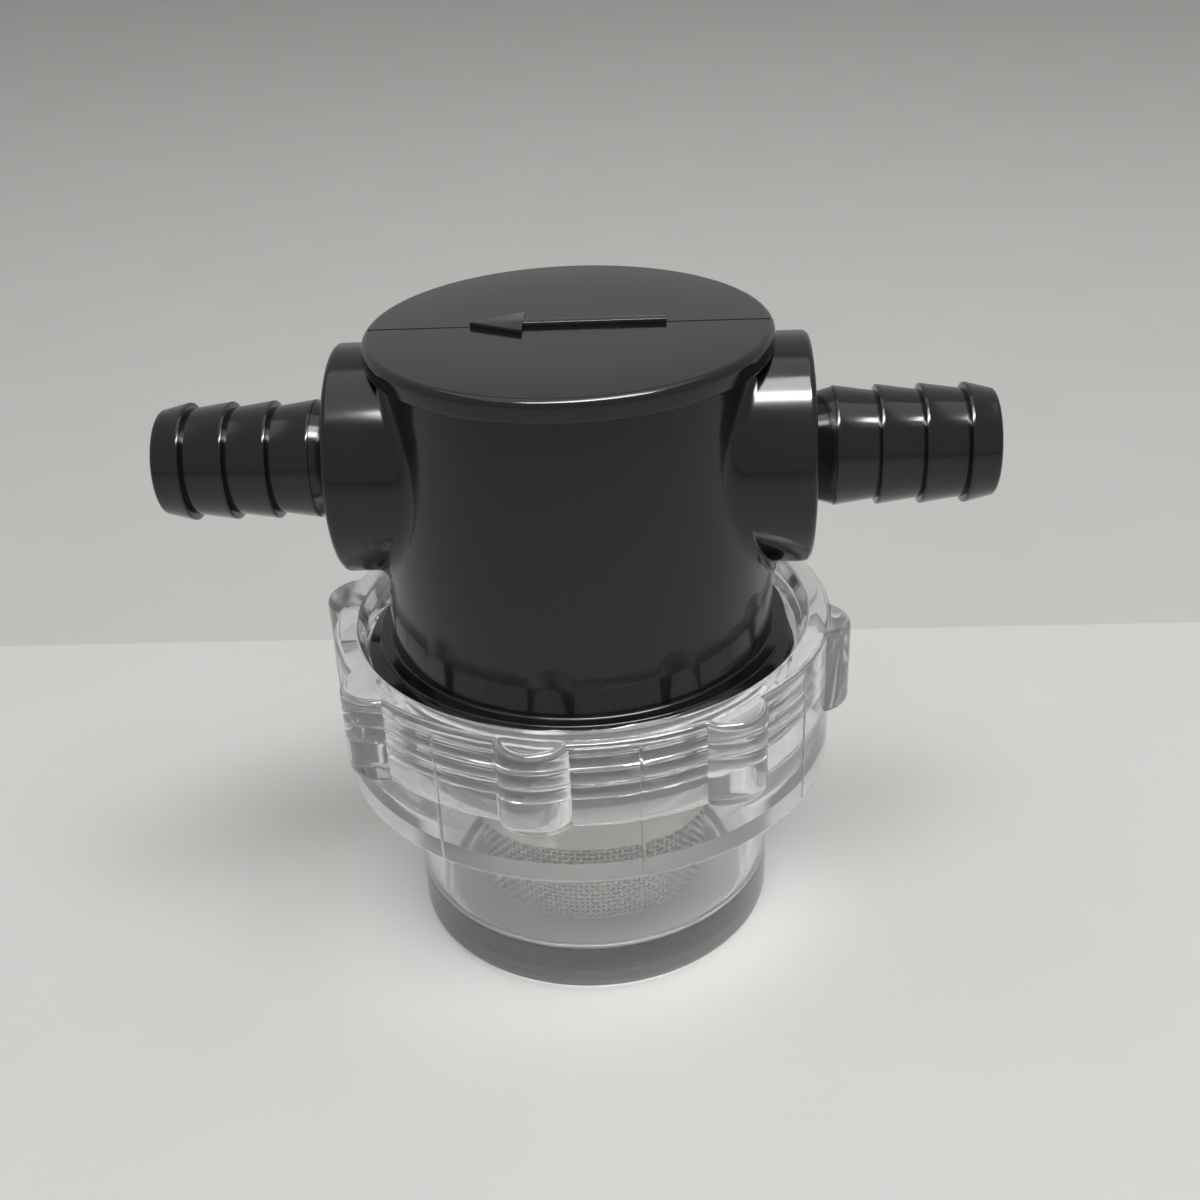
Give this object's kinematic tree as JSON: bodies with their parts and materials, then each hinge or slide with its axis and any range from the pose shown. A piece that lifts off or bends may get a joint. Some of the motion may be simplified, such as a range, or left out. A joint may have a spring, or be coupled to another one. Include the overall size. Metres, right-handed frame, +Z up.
{
  "type": "sea water strainer",
  "caption": "In-line sea water strainer: black moulded head with two barbed hose tails and a flow arrow, over a clear screw-on bowl holding a woven wire screen.",
  "frame": {"origin": "centre of the bowl's foot, on the surface that the strainer stands on", "axes": "+Z up along the bowl's axis; +X along the port axis toward the inlet, so that the flow arrow points to -X"},
  "size_m": [0.098, 0.0658, 0.0795],
  "materials": {
    "clear_polycarbonate": "clear moulded polycarbonate, polished",
    "black_nylon": "black moulded plastic, semi-gloss",
    "black_rubber": "black nitrile rubber, matt",
    "stainless_steel": "stainless steel wire and strip, dull"
  },
  "bodies": {
    "bowl": {"bowl": "clear_polycarbonate", "screen_mesh": "stainless_steel", "screen_base": "stainless_steel", "screen_band": "stainless_steel"},
    "seal": {"bowl_seal": "black_rubber"},
    "head": {"head": "black_nylon", "inlet_hose_tail": "black_nylon", "outlet_hose_tail": "black_nylon", "inlet_washer": "black_rubber", "outlet_washer": "black_rubber"}
  },
  "joints": [
    {"name": "head_lift", "type": "slide", "parent": "bowl", "child": "seal", "axis": [0, 0, 1], "range_m": [0, 0.00501]},
    {"name": "head_unscrew", "type": "hinge", "parent": "seal", "child": "head", "pos_m": [0, 0, 0.0368], "axis": [0, 0, 1], "range_deg": [0, 900]}
  ],
  "couplings": [
    {"joint": "head_lift", "follows": "head_unscrew", "m_per_rad": 0.00031831}
  ]
}
